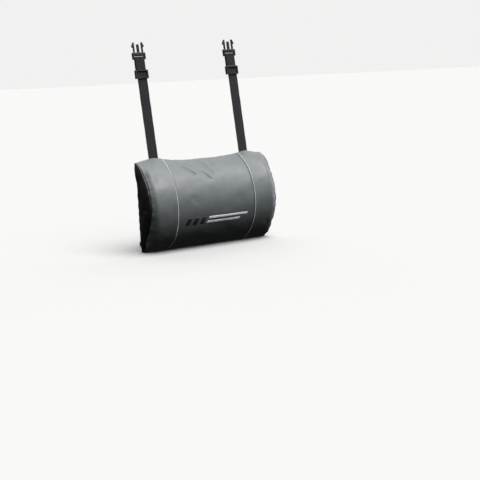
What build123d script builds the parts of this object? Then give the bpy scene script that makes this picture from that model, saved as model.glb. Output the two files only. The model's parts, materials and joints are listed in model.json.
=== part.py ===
"""Lumbar support cushion for a high-back office chair.

A D-shaped foam cushion in a sewn leather cover. Its flat back lies on the backrest, and two
webbing straps rise from its top seam, pass the backrest and clip to two short lower straps.

Frame: X across the chair, +Y towards the backrest, +Z up. The origin is the centre of the
flat back face, and every size is in millimetres.
"""

from build123d import *
import os
from math import cos, radians, sin, sqrt

# ------------------------------------------------------------------ driving dimensions
WIDTH = 340.0  # over the two end panels
HEIGHT = 220.0  # top back seam to bottom back seam
DEPTH = 85.0  # flat back to the crown of the front
PANEL_SEAM_X = 103.0  # joint between the centre and the side panels
STRAP_X = 124.0  # centre line of each strap
ZIP_Z = -62.0  # centre line of the zip on the back

COVER_T = 1.6  # leather cover
LINER_T = 0.8  # non-woven liner
SEAM_GAP = 0.2  # between sewn panels
LAYER_GAP = 0.3  # between one layer and the next

THREAD_X = 105.0  # topstitching row, just outside each panel joint
THREAD_W = 1.2
THREAD_RISE = 0.7
THREAD_END_Y = -6.0  # the rows stop just ahead of the back seams

WEBBING_W = 25.0
WEBBING_T = 1.4
STRAP_LEAN = 10.4  # degrees that the upper straps lean back from upright
BUCKLE_ALONG = 252.0  # strap root to the bar of the male buckle
ADJUSTER_ALONG = 212.0  # strap root to the centre bar of the adjuster

# ------------------------------------------------------------------ derived dimensions
HALF_W = WIDTH / 2
TOP_Z = HEIGHT / 2
FRONT_R = (TOP_Z**2 + DEPTH**2) / (2 * DEPTH)  # one arc through both seams and the crown
FRONT_Y = FRONT_R - DEPTH  # centre of that arc, behind the back plane
COVER_END_X = HALF_W - COVER_T - SEAM_GAP  # where the front and back panels stop

# the back is layered: panel, zip tape, zip slider's inner plate, liner, foam
TAPE_T = 0.5
TAPE_Y = -COVER_T - 0.1  # outer face of the zip tapes
LINER_BACK_Y = -3.7
CORE_BACK_Y = LINER_BACK_Y - LINER_T - LAYER_GAP
LINER_INSET = COVER_T + LAYER_GAP
CORE_INSET = LINER_INSET + LINER_T + LAYER_GAP

# zip
ZIP_WINDOW = 7.0  # half the height of the gap between the two back panels
TAPE_HALF_L = 165.0
TAPE_EDGE = 0.6  # inner edge of each tape and coil from the zip's centre line
TAPE_OUTER = 12.0
COIL_HALF_L = 132.0
COIL_OUTER = 3.0
COIL_T = 1.6
STOP_L = 2.4
SLIDER_X = -125.0  # slider at the closed end
SLIDER_L = 12.0
SLIDER_W = 9.6
SLIDER_PLATE_T = 1.0
SLIDER_TOP_Y = 0.2  # underside of the outer plate
SLIDER_INNER_Y = -2.4  # face of the inner plate that meets the tapes
PULL_PIN_Y = 2.3  # hinge line of the pull tab above the back plane
PULL_PIN_R = 0.7
PULL_L = 24.0
PULL_W = 6.4
PULL_T = 1.2

# straps
STRAP_ROOT_Y = 1.0  # where the upper straps leave the cushion and start to lean
STRAP_ROOT_Z = 108.0
TAIL_Y = -2.6  # sewn tails lie between the back panel and the liner
TAIL_TURN_Z = 101.0  # height, above or below the middle, where a tail turns outwards
UPPER_TAIL_END_Z = 70.0
LOWER_TAIL_END_Z = -75.0
LOWER_EXIT_Y = 6.0
TAIL_CORNER_R = 8.0
SLOT_REACH = 30.0  # how far the slot for a tail is cut outside the back panel
FREE_TIP = 7.0  # webbing past the adjuster's bar
OVERLAP_START = 5.0  # lower strap's sewn overlap, measured back from the bar
OVERLAP_MEET = 16.0
OVERLAP_END = 30.0
OVERLAP_CORNER_R = 4.0
PLY_GAP = 0.1  # between the two sewn plies
BAR_R = 2.0  # webbing bar of each buckle half
BUCKLE_WRAP_R = BAR_R + LAYER_GAP + 0.05 + WEBBING_T / 2
ADJUSTER_BAR_R = 1.2
ADJUSTER_WRAP_R = ADJUSTER_BAR_R + LAYER_GAP + WEBBING_T / 2
RETURN_BACK = 2 * BUCKLE_WRAP_R  # returning run, behind the front run
ADJUSTER_BAR_BACK = RETURN_BACK - ADJUSTER_WRAP_R
LOWER_BUCKLE_Y = 50.0  # bar of each female buckle, behind the back plane
FEMALE_T = 11.0
FEMALE_Z = -TOP_Z + FEMALE_T / 2  # the female halves lie level with the cushion's bottom
LOWER_RUN_Z = FEMALE_Z - BUCKLE_WRAP_R
UPPER_RUN_Z = FEMALE_Z + BUCKLE_WRAP_R

# buckle halves for 25 mm webbing, measured along the strap from the webbing bar
CHEEK_INNER = 13.2
CHEEK_OUTER = 16.5
CHEEK_TAIL = 3.2  # cheek beyond the bar
BLOCK_START = 5.0
MALE_BLOCK_END = 13.0
MALE_T = 8.0
PRONG_T = 5.6
PRONG_TIP = 38.0
FEMALE_MOUTH = 34.0
FEMALE_OUTER = 17.2
SOCKET_START = 8.0
SOCKET_HALF_W = 13.8
SOCKET_H = 6.6
WINDOW_START = 9.5
WINDOW_END = 20.8
EDGE_ROUND = 1.2

# adjuster
ADJUSTER_OUTER = 16.4
ADJUSTER_HALF_L = 10.5
ADJUSTER_BAR_L = 3.2  # width of the two front bars along the strap
ADJUSTER_FRONT = -3.2
ADJUSTER_FRONT_BAR_T = 2.2
ADJUSTER_REAR = ADJUSTER_BAR_BACK + ADJUSTER_BAR_R

# motif on the centre panel
MOTIF_Z = -38.0
MOTIF_H = 17.0
MOTIF_SLANT = 6.0
MOTIF_RISE = 0.6
MOTIF_START_X = -88.0
MOTIF_END_X = 88.0
DARK_BARS = 3
DARK_BAR_W = 12.0
DARK_BAR_PITCH = 19.0
LIGHT_LINE_H = 6.2

UP = Vector(0, sin(radians(STRAP_LEAN)), cos(radians(STRAP_LEAN)))  # along an upper strap
BACK = Vector(0, cos(radians(STRAP_LEAN)), -sin(radians(STRAP_LEAN)))  # out of its back

SIDES = (("left", -1), ("right", 1))  # seen from the front

os.makedirs("parts", exist_ok=True)


def save(builder, name):
    """Labels a finished piece and writes its STEP file."""
    builder.part.label = name
    export_step(builder.part, f"parts/{name}.step")


def arc_height(radius, y):
    """Height at which an arc of the front's centre and this radius meets the plane Y = y."""
    return sqrt(radius**2 - (y - FRONT_Y) ** 2)


def strap_origin(side, along=0.0, back=0.0):
    """Point on an upper strap's centre line, moved along it and out of its back face."""
    return Vector(side * STRAP_X, STRAP_ROOT_Y, STRAP_ROOT_Z) + UP * along + BACK * back


def strap_side_point(along, back):
    """(Y, Z) of a point given along an upper strap and behind its front run."""
    point = strap_origin(0, along, back)
    return (point.Y, point.Z)


def strap_face_plane(side, along, back):
    """Plane parallel to an upper strap's face: local x across it and local y along it."""
    return Plane(origin=strap_origin(side, along, back), x_dir=(1, 0, 0), z_dir=-BACK)


UPPER_TAIL = [(TAIL_Y, UPPER_TAIL_END_Z), (TAIL_Y, TAIL_TURN_Z), (STRAP_ROOT_Y, STRAP_ROOT_Z)]
LOWER_TAIL = [(TAIL_Y, LOWER_TAIL_END_Z), (TAIL_Y, -TAIL_TURN_Z), (LOWER_EXIT_Y, LOWER_RUN_Z)]


# ------------------------------------------------------------------ cover and filling
def arc_shell(outer_inset, inner_inset, back_y, x_low, x_high):
    """Curved sheet between two arcs concentric with the front, from x_low to x_high."""
    outer_r = FRONT_R - outer_inset
    inner_r = FRONT_R - inner_inset
    outer_z = arc_height(outer_r, back_y)
    inner_z = arc_height(inner_r, back_y)
    with BuildPart() as shell:
        with BuildSketch(Plane.YZ.offset(x_low)):
            with BuildLine():
                ThreePointArc((back_y, outer_z), (FRONT_Y - outer_r, 0), (back_y, -outer_z))
                Line((back_y, -outer_z), (back_y, -inner_z))
                ThreePointArc((back_y, -inner_z), (FRONT_Y - inner_r, 0), (back_y, inner_z))
                Line((back_y, inner_z), (back_y, outer_z))
            make_face()
        extrude(amount=x_high - x_low)
    return shell


def d_block(inset, back_y, x_low, x_high):
    """Solid D shape inside the front arc moved in by inset, ahead of the plane Y = back_y."""
    radius = FRONT_R - inset
    top_z = arc_height(radius, back_y)
    with BuildPart() as block:
        with BuildSketch(Plane.YZ.offset(x_low)):
            with BuildLine():
                ThreePointArc((back_y, top_z), (FRONT_Y - radius, 0), (back_y, -top_z))
                Line((back_y, -top_z), (back_y, top_z))
            make_face()
        extrude(amount=x_high - x_low)
    return block


def front_panels():
    """Three curved panels, joined at the two stitched seams."""
    panel_edge = SEAM_GAP / 2
    spans = {
        "front_left_panel": (-COVER_END_X, -PANEL_SEAM_X - panel_edge),
        "front_centre_panel": (-PANEL_SEAM_X + panel_edge, PANEL_SEAM_X - panel_edge),
        "front_right_panel": (PANEL_SEAM_X + panel_edge, COVER_END_X),
    }
    for name, (x_low, x_high) in spans.items():
        save(arc_shell(0, COVER_T, 0, x_low, x_high), name)


def end_panels():
    """D-shaped panels that close the two ends."""
    for name, side in SIDES:
        faces = sorted((side * HALF_W, side * (HALF_W - COVER_T)))
        save(d_block(0, 0, faces[0], faces[1]), f"{name}_end_panel")


def seam_threads():
    """One raised row of topstitching beside each front seam."""
    for name, side in SIDES:
        x_low = side * THREAD_X - THREAD_W / 2
        thread = arc_shell(-THREAD_RISE, 0, THREAD_END_Y, x_low, x_low + THREAD_W)
        save(thread, f"{name}_seam_thread")


def webbing_slot(tail, outside, side):
    """Clearance body that follows a sewn tail through the back panel to a point outside it."""
    with BuildPart() as slot:
        with BuildSketch(Plane.YZ.offset(side * STRAP_X - WEBBING_W / 2 - SEAM_GAP)):
            with BuildLine():
                FilletPolyline(*tail, outside, radius=TAIL_CORNER_R)
            trace(line_width=WEBBING_T + 2 * SEAM_GAP)
        extrude(amount=WEBBING_W + 2 * SEAM_GAP)
    return slot.part


def back_panels():
    """Flat back in two parts, with a gap for the zip and a slot where each strap leaves."""
    panel_top = arc_height(FRONT_R - COVER_T, -COVER_T) - SEAM_GAP
    above = strap_side_point(SLOT_REACH, 0)
    behind = (SLOT_REACH, LOWER_RUN_Z)
    spans = {
        "back_panel_upper": (ZIP_Z + ZIP_WINDOW, panel_top, UPPER_TAIL, above),
        "back_panel_lower": (-panel_top, ZIP_Z - ZIP_WINDOW, LOWER_TAIL, behind),
    }
    for name, (z_low, z_high, tail, outside) in spans.items():
        with BuildPart() as panel:
            with BuildSketch(Plane.XZ):
                with Locations((0, (z_low + z_high) / 2)):
                    Rectangle(2 * COVER_END_X, z_high - z_low)
            extrude(amount=COVER_T)
            for _, side in SIDES:
                add(webbing_slot(tail, outside, side), mode=Mode.SUBTRACT)
        save(panel, name)


def filling():
    """Foam core inside its liner: a D-shaped sleeve and two end pieces."""
    liner_end_x = COVER_END_X - LAYER_GAP
    sleeve_end_x = liner_end_x - LINER_T - SEAM_GAP
    sleeve = d_block(LINER_INSET, LINER_BACK_Y, -sleeve_end_x, sleeve_end_x)
    hollow = d_block(
        LINER_INSET + LINER_T, LINER_BACK_Y - LINER_T, -sleeve_end_x, sleeve_end_x
    )
    with BuildPart() as liner:
        add(sleeve.part)
        add(hollow.part, mode=Mode.SUBTRACT)
    save(liner, "liner_sleeve")
    for name, side in SIDES:
        faces = sorted((side * liner_end_x, side * (liner_end_x - LINER_T)))
        save(d_block(LINER_INSET, LINER_BACK_Y, faces[0], faces[1]), f"liner_{name}_end")
    save(d_block(CORE_INSET, CORE_BACK_Y, -sleeve_end_x, sleeve_end_x), "foam_core")


def motif_block(outline, name):
    """Raised patch on the centre panel with its outline drawn from the front."""
    with BuildPart() as patch:
        add(arc_shell(-MOTIF_RISE, 0, 0, MOTIF_START_X, MOTIF_END_X).part)
        with BuildSketch(Plane.XZ):
            for points in outline:
                with BuildLine():
                    Polyline(*points, close=True)
                make_face()
        extrude(amount=DEPTH + 2 * MOTIF_RISE, mode=Mode.INTERSECT)
    save(patch, name)


def slanted_bar(x_low, x_high, z_low, z_high):
    """Corners of a bar whose ends lean with the motif's slant."""
    lean_low = MOTIF_SLANT * (z_low - MOTIF_Z) / MOTIF_H
    lean_high = MOTIF_SLANT * (z_high - MOTIF_Z) / MOTIF_H
    return [
        (x_low + lean_low, z_low),
        (x_high + lean_low, z_low),
        (x_high + lean_high, z_high),
        (x_low + lean_high, z_high),
    ]


def motif():
    """Embroidered decoration: three dark slanted bars and two long silver lines."""
    z_low = MOTIF_Z - MOTIF_H / 2
    z_high = MOTIF_Z + MOTIF_H / 2
    first_x = MOTIF_START_X + MOTIF_SLANT
    dark = []
    for index in range(DARK_BARS):
        x_low = first_x + index * DARK_BAR_PITCH
        dark.append(slanted_bar(x_low, x_low + DARK_BAR_W, z_low, z_high))
    light_x = first_x + DARK_BARS * DARK_BAR_PITCH
    light_end = MOTIF_END_X - MOTIF_SLANT
    light = [
        slanted_bar(light_x, light_end, z_high - LIGHT_LINE_H, z_high),
        slanted_bar(light_x, light_end - MOTIF_H, z_low, z_low + LIGHT_LINE_H),
    ]
    motif_block(dark, "emblem_dark")
    motif_block(light, "emblem_light")


# ------------------------------------------------------------------ zip
def zip_rows():
    """Two woven tapes and two coil rows, either side of the zip's centre line."""
    rows = {
        "zip_tape": (TAPE_HALF_L, TAPE_OUTER, TAPE_Y - TAPE_T, TAPE_T),
        "zip_coil": (COIL_HALF_L, COIL_OUTER, TAPE_Y, COIL_T),
    }
    for kind, (half_length, outer, y_low, thickness) in rows.items():
        for name, direction in (("upper", 1), ("lower", -1)):
            with BuildPart() as row:
                with BuildSketch(Plane.XZ.offset(-y_low - thickness)):
                    with Locations((0, ZIP_Z + direction * (TAPE_EDGE + outer) / 2)):
                        Rectangle(2 * half_length, outer - TAPE_EDGE)
                extrude(amount=thickness)
            save(row, f"{kind}_{name}")


def zip_stops():
    """Two top stops at the closed end and one bottom stop at the other."""
    stop_x = COIL_HALF_L + SEAM_GAP + STOP_L / 2
    tooth_z = (TAPE_EDGE + COIL_OUTER) / 2
    with BuildPart() as stops:
        with BuildSketch(Plane.XZ.offset(-TAPE_Y - COIL_T)):
            with Locations((-stop_x, ZIP_Z - tooth_z), (-stop_x, ZIP_Z + tooth_z)):
                Rectangle(STOP_L, COIL_OUTER - TAPE_EDGE)
            with Locations((stop_x, ZIP_Z)):
                Rectangle(STOP_L, 2 * COIL_OUTER)
        extrude(amount=COIL_T)
    save(stops, "zip_stops")


def zip_slider():
    """Two plates round the coil rows, joined in the middle, with side lips and a bail."""
    plate_round = 2.4
    lip_t = 1.4
    lip_y = -1.4
    web_l = 6.0
    web_w = 0.8
    bail_half_l = 4.0
    bail_w = 2.2
    bail_leg = 1.4
    bail_round = 1.0
    bail_inside = PULL_PIN_Y + PULL_PIN_R + LAYER_GAP
    bail_top = bail_inside + 1.0
    plate_top = SLIDER_TOP_Y + SLIDER_PLATE_T
    centre = (SLIDER_X, ZIP_Z)
    with BuildPart() as slider:
        with BuildSketch(Plane.XZ.offset(-plate_top)):
            with Locations(centre):
                RectangleRounded(SLIDER_L, SLIDER_W, plate_round)
        extrude(amount=SLIDER_PLATE_T)
        with BuildSketch(Plane.XZ.offset(-SLIDER_INNER_Y)):
            with Locations(centre):
                RectangleRounded(SLIDER_L, SLIDER_W, plate_round)
        extrude(amount=SLIDER_PLATE_T)
        with BuildSketch(Plane.XZ.offset(-SLIDER_TOP_Y)):
            with Locations(centre):
                Rectangle(web_l, web_w)
        extrude(amount=SLIDER_TOP_Y - SLIDER_INNER_Y)
        with BuildSketch(Plane.XZ.offset(-SLIDER_TOP_Y)):
            lip_z = (SLIDER_W - lip_t) / 2
            with Locations((SLIDER_X, ZIP_Z - lip_z), (SLIDER_X, ZIP_Z + lip_z)):
                Rectangle(web_l, lip_t)
        extrude(amount=SLIDER_TOP_Y - lip_y)
        with BuildSketch(Plane.XY.offset(ZIP_Z - bail_w / 2)):
            with Locations((SLIDER_X, plate_top)):
                Rectangle(
                    2 * bail_half_l, bail_top - plate_top, align=(Align.CENTER, Align.MIN)
                )
                Rectangle(
                    2 * (bail_half_l - bail_leg),
                    bail_inside - plate_top,
                    align=(Align.CENTER, Align.MIN),
                    mode=Mode.SUBTRACT,
                )
        extrude(amount=bail_w)
        bail_top_edges = slider.edges().filter_by(Axis.Z).group_by(Axis.Y)[-1]
        fillet(bail_top_edges, radius=bail_round)
    save(slider, "zip_slider")


def zip_pull():
    """Pull tab forked round a pin, which turns under the slider's bail."""
    tab_round = 1.6
    eye_half_w = 1.5
    eye_end = 5.2
    hole_r = 1.4
    hole_from_tip = 4.3
    with BuildPart() as pull:
        with BuildSketch(Plane.XZ.offset(-PULL_PIN_Y - PULL_T / 2)):
            with Locations((SLIDER_X - PULL_PIN_R, ZIP_Z)):
                RectangleRounded(PULL_L, PULL_W, tab_round, align=(Align.MIN, Align.CENTER))
            with Locations((SLIDER_X + eye_end, ZIP_Z)):
                Rectangle(
                    eye_end + 2 * PULL_PIN_R,
                    2 * eye_half_w,
                    align=(Align.MAX, Align.CENTER),
                    mode=Mode.SUBTRACT,
                )
            with Locations((SLIDER_X - PULL_PIN_R + PULL_L - hole_from_tip, ZIP_Z)):
                Circle(hole_r, mode=Mode.SUBTRACT)
        extrude(amount=PULL_T)
        with BuildSketch(Plane.XY.offset(ZIP_Z)):
            with Locations((SLIDER_X, PULL_PIN_Y)):
                Circle(PULL_PIN_R)
        extrude(amount=(eye_half_w + PULL_W / 2) / 2, both=True)
    save(pull, "zip_pull")


# ------------------------------------------------------------------ straps
def upper_straps():
    """Webbing from the top seam up to the male buckle's bar and back to the adjuster."""
    bar_front = strap_side_point(BUCKLE_ALONG, 0)
    bar_over = strap_side_point(BUCKLE_ALONG + BUCKLE_WRAP_R, BUCKLE_WRAP_R)
    bar_back = strap_side_point(BUCKLE_ALONG, RETURN_BACK)
    eye_back = strap_side_point(ADJUSTER_ALONG, RETURN_BACK)
    eye_under = strap_side_point(ADJUSTER_ALONG - ADJUSTER_WRAP_R, ADJUSTER_BAR_BACK)
    eye_front = strap_side_point(ADJUSTER_ALONG, ADJUSTER_BAR_BACK - ADJUSTER_WRAP_R)
    end_tip = strap_side_point(ADJUSTER_ALONG + FREE_TIP, ADJUSTER_BAR_BACK - ADJUSTER_WRAP_R)
    for name, side in SIDES:
        with BuildPart() as strap:
            with BuildSketch(Plane.YZ.offset(side * STRAP_X - WEBBING_W / 2)):
                with BuildLine():
                    FilletPolyline(*UPPER_TAIL, bar_front, radius=TAIL_CORNER_R)
                    ThreePointArc(bar_front, bar_over, bar_back)
                    Line(bar_back, eye_back)
                    ThreePointArc(eye_back, eye_under, eye_front)
                    Line(eye_front, end_tip)
                trace(line_width=WEBBING_T)
            extrude(amount=WEBBING_W)
        save(strap, f"{name}_upper_strap")


def lower_straps():
    """Short webbing from the bottom seam, looped on the female buckle and sewn to itself."""
    bar_low = (LOWER_BUCKLE_Y, LOWER_RUN_Z)
    bar_over = (LOWER_BUCKLE_Y + BUCKLE_WRAP_R, FEMALE_Z)
    bar_high = (LOWER_BUCKLE_Y, UPPER_RUN_Z)
    sewn_z = LOWER_RUN_Z + WEBBING_T + PLY_GAP
    overlap = [
        bar_high,
        (LOWER_BUCKLE_Y - OVERLAP_START, UPPER_RUN_Z),
        (LOWER_BUCKLE_Y - OVERLAP_MEET, sewn_z),
        (LOWER_BUCKLE_Y - OVERLAP_END, sewn_z),
    ]
    for name, side in SIDES:
        with BuildPart() as strap:
            with BuildSketch(Plane.YZ.offset(side * STRAP_X - WEBBING_W / 2)):
                with BuildLine():
                    FilletPolyline(*LOWER_TAIL, bar_low, radius=TAIL_CORNER_R)
                    ThreePointArc(bar_low, bar_over, bar_high)
                    FilletPolyline(*overlap, radius=OVERLAP_CORNER_R)
                trace(line_width=WEBBING_T)
            extrude(amount=WEBBING_W)
        save(strap, f"{name}_lower_strap")


# ------------------------------------------------------------------ adjusters and buckles
def adjusters():
    """Three-bar slider: two bars in front of the strap and one behind it that holds its end."""
    rail_w = ADJUSTER_OUTER - CHEEK_INNER
    rail_x = (ADJUSTER_OUTER + CHEEK_INNER) / 2
    bar_centre = ADJUSTER_HALF_L - ADJUSTER_BAR_L / 2
    for name, side in SIDES:
        front_plane = strap_face_plane(side, ADJUSTER_ALONG, ADJUSTER_FRONT)
        bar_plane = Plane(
            origin=strap_origin(side, ADJUSTER_ALONG, ADJUSTER_BAR_BACK),
            x_dir=UP,
            z_dir=(1, 0, 0),
        )
        with BuildPart() as adjuster:
            with BuildSketch(front_plane):
                with Locations((-rail_x, 0), (rail_x, 0)):
                    RectangleRounded(rail_w, 2 * ADJUSTER_HALF_L, EDGE_ROUND)
            extrude(amount=ADJUSTER_FRONT - ADJUSTER_REAR)
            with BuildSketch(front_plane):
                with Locations((0, -bar_centre), (0, bar_centre)):
                    Rectangle(2 * rail_x, ADJUSTER_BAR_L)
            extrude(amount=-ADJUSTER_FRONT_BAR_T)
            with BuildSketch(bar_plane):
                Circle(ADJUSTER_BAR_R)
            extrude(amount=rail_x, both=True)
        save(adjuster, f"{name}_adjuster")


def male_buckles():
    """Side-release plug: webbing bar between cheeks, a block, two barbed prongs, a guide."""
    prong = [
        (9.4, MALE_BLOCK_END - 1.0),
        (12.4, MALE_BLOCK_END - 1.0),
        (12.4, 25.5),
        (15.6, 26.5),
        (15.6, 29.5),
        (11.8, PRONG_TIP),
        (9.4, PRONG_TIP),
    ]
    guide_half_w = 2.6
    guide_tip = 34.0
    cheek_x = (CHEEK_INNER + CHEEK_OUTER) / 2
    for name, side in SIDES:
        middle = strap_face_plane(side, BUCKLE_ALONG, BUCKLE_WRAP_R)
        bar_plane = Plane(origin=middle.origin, x_dir=UP, z_dir=(1, 0, 0))
        with BuildPart() as buckle:
            with BuildSketch(middle):
                with Locations((0, (BLOCK_START + MALE_BLOCK_END) / 2)):
                    Rectangle(2 * CHEEK_OUTER, MALE_BLOCK_END - BLOCK_START)
                with Locations((-cheek_x, BLOCK_START), (cheek_x, BLOCK_START)):
                    Rectangle(
                        CHEEK_OUTER - CHEEK_INNER,
                        BLOCK_START + CHEEK_TAIL,
                        align=(Align.CENTER, Align.MAX),
                    )
            extrude(amount=MALE_T / 2, both=True)
            outer_edges = buckle.edges().filter_by(GeomType.LINE).filter_by(Axis.X)
            chamfer(outer_edges.sort_by(SortBy.LENGTH)[-4:], length=EDGE_ROUND)
            with BuildSketch(bar_plane):
                Circle(BAR_R)
            extrude(amount=cheek_x, both=True)
            with BuildSketch(middle):
                with BuildLine():
                    Polyline(*prong, close=True)
                make_face()
                mirror(about=Plane.YZ)
                with Locations((0, MALE_BLOCK_END - 1.0)):
                    Rectangle(
                        2 * guide_half_w,
                        guide_tip - MALE_BLOCK_END,
                        align=(Align.CENTER, Align.MIN),
                    )
            extrude(amount=PRONG_T / 2, both=True)
        save(buckle, f"{name}_male_buckle")


def female_buckles():
    """Side-release socket: webbing bar between cheeks, then a shell open at its mouth."""
    window_w = 6.0
    for name, side in SIDES:
        middle = Plane.XY.offset(FEMALE_Z)
        middle.origin = Vector(side * STRAP_X, LOWER_BUCKLE_Y, FEMALE_Z)
        bar_plane = Plane(origin=middle.origin, x_dir=(0, 1, 0), z_dir=(1, 0, 0))
        with BuildPart() as buckle:
            with BuildSketch(middle):
                with Locations((0, -CHEEK_TAIL)):
                    Rectangle(
                        2 * FEMALE_OUTER,
                        FEMALE_MOUTH + CHEEK_TAIL,
                        align=(Align.CENTER, Align.MIN),
                    )
            extrude(amount=FEMALE_T / 2, both=True)
            fillet(buckle.edges().filter_by(Axis.Y), radius=2 * EDGE_ROUND)
            with BuildSketch(middle):
                with Locations((0, BLOCK_START)):
                    Rectangle(
                        2 * CHEEK_INNER,
                        2 * (BLOCK_START + CHEEK_TAIL),
                        align=(Align.CENTER, Align.MAX),
                    )
            extrude(amount=FEMALE_T, both=True, mode=Mode.SUBTRACT)
            with BuildSketch(bar_plane):
                Circle(BAR_R)
            extrude(amount=(CHEEK_INNER + FEMALE_OUTER) / 2, both=True)
            with BuildSketch(middle):
                with Locations((0, SOCKET_START)):
                    Rectangle(
                        2 * SOCKET_HALF_W,
                        2 * (FEMALE_MOUTH - SOCKET_START),
                        align=(Align.CENTER, Align.MIN),
                    )
                with Locations((-FEMALE_OUTER, WINDOW_START), (FEMALE_OUTER, WINDOW_START)):
                    Rectangle(
                        2 * window_w,
                        WINDOW_END - WINDOW_START,
                        align=(Align.CENTER, Align.MIN),
                    )
            extrude(amount=SOCKET_H / 2, both=True, mode=Mode.SUBTRACT)
        save(buckle, f"{name}_female_buckle")


front_panels()
end_panels()
seam_threads()
back_panels()
filling()
motif()
zip_rows()
zip_stops()
zip_slider()
zip_pull()
upper_straps()
lower_straps()
adjusters()
male_buckles()
female_buckles()
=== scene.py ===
"""Looks of the lumbar support cushion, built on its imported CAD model.

Lengths are in metres, in the CAD model's frame: X across the chair, +Y towards the backrest and
+Z up, with the origin at the centre of the cushion's flat back. "left" is the -X side.
"""

import json
from math import acos, asin, ceil, cos, hypot, pi, radians, sin, sqrt, tau

import bmesh
import bpy
import numpy as np
from mathutils import Matrix, Vector
from mathutils.bvhtree import BVHTree


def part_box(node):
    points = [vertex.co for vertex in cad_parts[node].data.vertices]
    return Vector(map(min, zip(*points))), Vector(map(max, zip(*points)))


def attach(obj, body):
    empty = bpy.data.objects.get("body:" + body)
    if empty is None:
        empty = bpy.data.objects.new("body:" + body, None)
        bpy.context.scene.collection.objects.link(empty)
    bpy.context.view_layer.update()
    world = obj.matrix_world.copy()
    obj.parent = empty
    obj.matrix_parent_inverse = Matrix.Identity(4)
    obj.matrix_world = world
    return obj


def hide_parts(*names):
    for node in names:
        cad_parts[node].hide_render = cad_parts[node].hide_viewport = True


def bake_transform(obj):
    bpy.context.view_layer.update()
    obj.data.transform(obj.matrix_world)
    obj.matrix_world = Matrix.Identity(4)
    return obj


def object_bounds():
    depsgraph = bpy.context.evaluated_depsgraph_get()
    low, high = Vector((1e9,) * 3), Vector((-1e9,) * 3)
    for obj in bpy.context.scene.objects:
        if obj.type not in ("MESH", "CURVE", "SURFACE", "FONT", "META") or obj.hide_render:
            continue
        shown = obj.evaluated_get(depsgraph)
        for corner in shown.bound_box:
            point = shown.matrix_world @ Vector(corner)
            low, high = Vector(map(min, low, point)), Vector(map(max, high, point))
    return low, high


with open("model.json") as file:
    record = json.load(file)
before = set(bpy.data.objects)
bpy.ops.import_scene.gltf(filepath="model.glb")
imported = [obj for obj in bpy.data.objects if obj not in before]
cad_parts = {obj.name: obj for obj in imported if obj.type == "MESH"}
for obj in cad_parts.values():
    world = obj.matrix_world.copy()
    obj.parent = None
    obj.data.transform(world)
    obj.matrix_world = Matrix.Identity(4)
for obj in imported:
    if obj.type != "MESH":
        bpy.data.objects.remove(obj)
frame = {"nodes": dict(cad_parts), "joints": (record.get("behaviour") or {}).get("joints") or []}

CAD_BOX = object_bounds()
MM = 0.001


def centre_of(node, axis):
    """Middle of a CAD part's box along one axis."""
    low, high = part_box(node)
    return (low[axis] + high[axis]) / 2


# ------------------------------------------------------------------ sizes read from the frame
HALF_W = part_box("right_end_panel")[1].x
TOP_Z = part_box("front_centre_panel")[1].z
DEPTH = -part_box("front_centre_panel")[0].y
SEAM_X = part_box("front_centre_panel")[1].x
THREAD_X = centre_of("right_seam_thread", 0)
STRAP_X = centre_of("right_upper_strap", 0)
STRAP_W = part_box("right_upper_strap")[1].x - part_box("right_upper_strap")[0].x
WINDOW_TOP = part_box("back_panel_upper")[0].z
WINDOW_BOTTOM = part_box("back_panel_lower")[1].z
ZIP_Z = (WINDOW_TOP + WINDOW_BOTTOM) / 2
FLOOR_Z = CAD_BOX[0].z

# The cover's panels meet on a grid a little inside the CAD cover, and puff out from their seams.
PUFF = 1.2 * MM
SEAM_Y = -1.0 * MM  # the seams round the back lie this far in front of the back plane
SEAM_Z = TOP_Z - 0.8 * MM
CROWN = DEPTH - PUFF + SEAM_Y  # depth of the front's arc, from those seams to its middle
FRONT_R = (SEAM_Z**2 + CROWN**2) / (2 * CROWN)
FRONT_Y = SEAM_Y + FRONT_R - CROWN
FRONT_ANGLE = asin(SEAM_Z / FRONT_R)
FRONT_ARC = 2 * FRONT_R * FRONT_ANGLE

# ------------------------------------------------------------------ shape of the filled cover
COVER_T = 1.5 * MM
REST_GAP = 0.05 * MM  # the cover flattens where it rests, this far above the floor
INSIDE_GAP = 0.4 * MM  # where it is pressed flat, its inner face stays this much above its outer one
REST_SAG = 1.8 * MM  # its lowest edge sags this much, fading out over REST_SAG_H above the floor
REST_SAG_H = 8 * MM
SEAM_PULL_IN = 1.5 * MM  # the end seams run this far inside the width between their corners
SEAM_WAVE = 0.55 * MM  # and waver this much
ROLL_W = 24 * MM  # width of the strips in which the front rolls down to the end seams
ROLL_CREST = 12 * MM  # distance from an end seam at which the front starts to fall towards it
ROLL_SOFTNESS = 6 * MM
SEAM_RISE = 2.2 * MM  # width over which a panel rises out of its seam
ROLL_SLOPE = 0.95
LEFT_SAG = 0.7  # the left end rolls this much more in its lower half
LEFT_SAG_H = 70 * MM
EAR_REACH = 42 * MM  # distance from a corner over which seams straighten, so corners stay sharp
ROLL_REACH = {-1: 27 * MM, 1: 42 * MM}  # and over which the roll fades
EAR_TIPS = {-1: 4.0 * MM, 1: 0.8 * MM}  # how far the top corners stick out
EAR_TIP_REACH = 14 * MM
END_BULGE = 7 * MM
SIM_SHRINK = 2.5 * MM  # the front starts this much low, and the pressure fills it out
SIM_CAP = 9 * MM  # no point is moved further than this
SIM_FRAMES = 22
SIM_SOFTENING = 6  # rounds of smoothing, which take out wrinkles finer than the real ones

# (centre X, height, half width) of the places where the top seam stands up or sinks
TOP_BUMPS = [
    (-STRAP_X - 4 * MM, 7.0 * MM, 27 * MM),
    (STRAP_X, 5.0 * MM, 15 * MM),
    (-HALF_W, -1.2 * MM, 12 * MM),
    (HALF_W, -3.6 * MM, 15 * MM),
]
TOP_DIP = 4.6 * MM
TOP_DIP_HALF_W = 100 * MM
TOP_REACH = 52 * MM  # how far down the front the seam's bumps fade out

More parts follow.
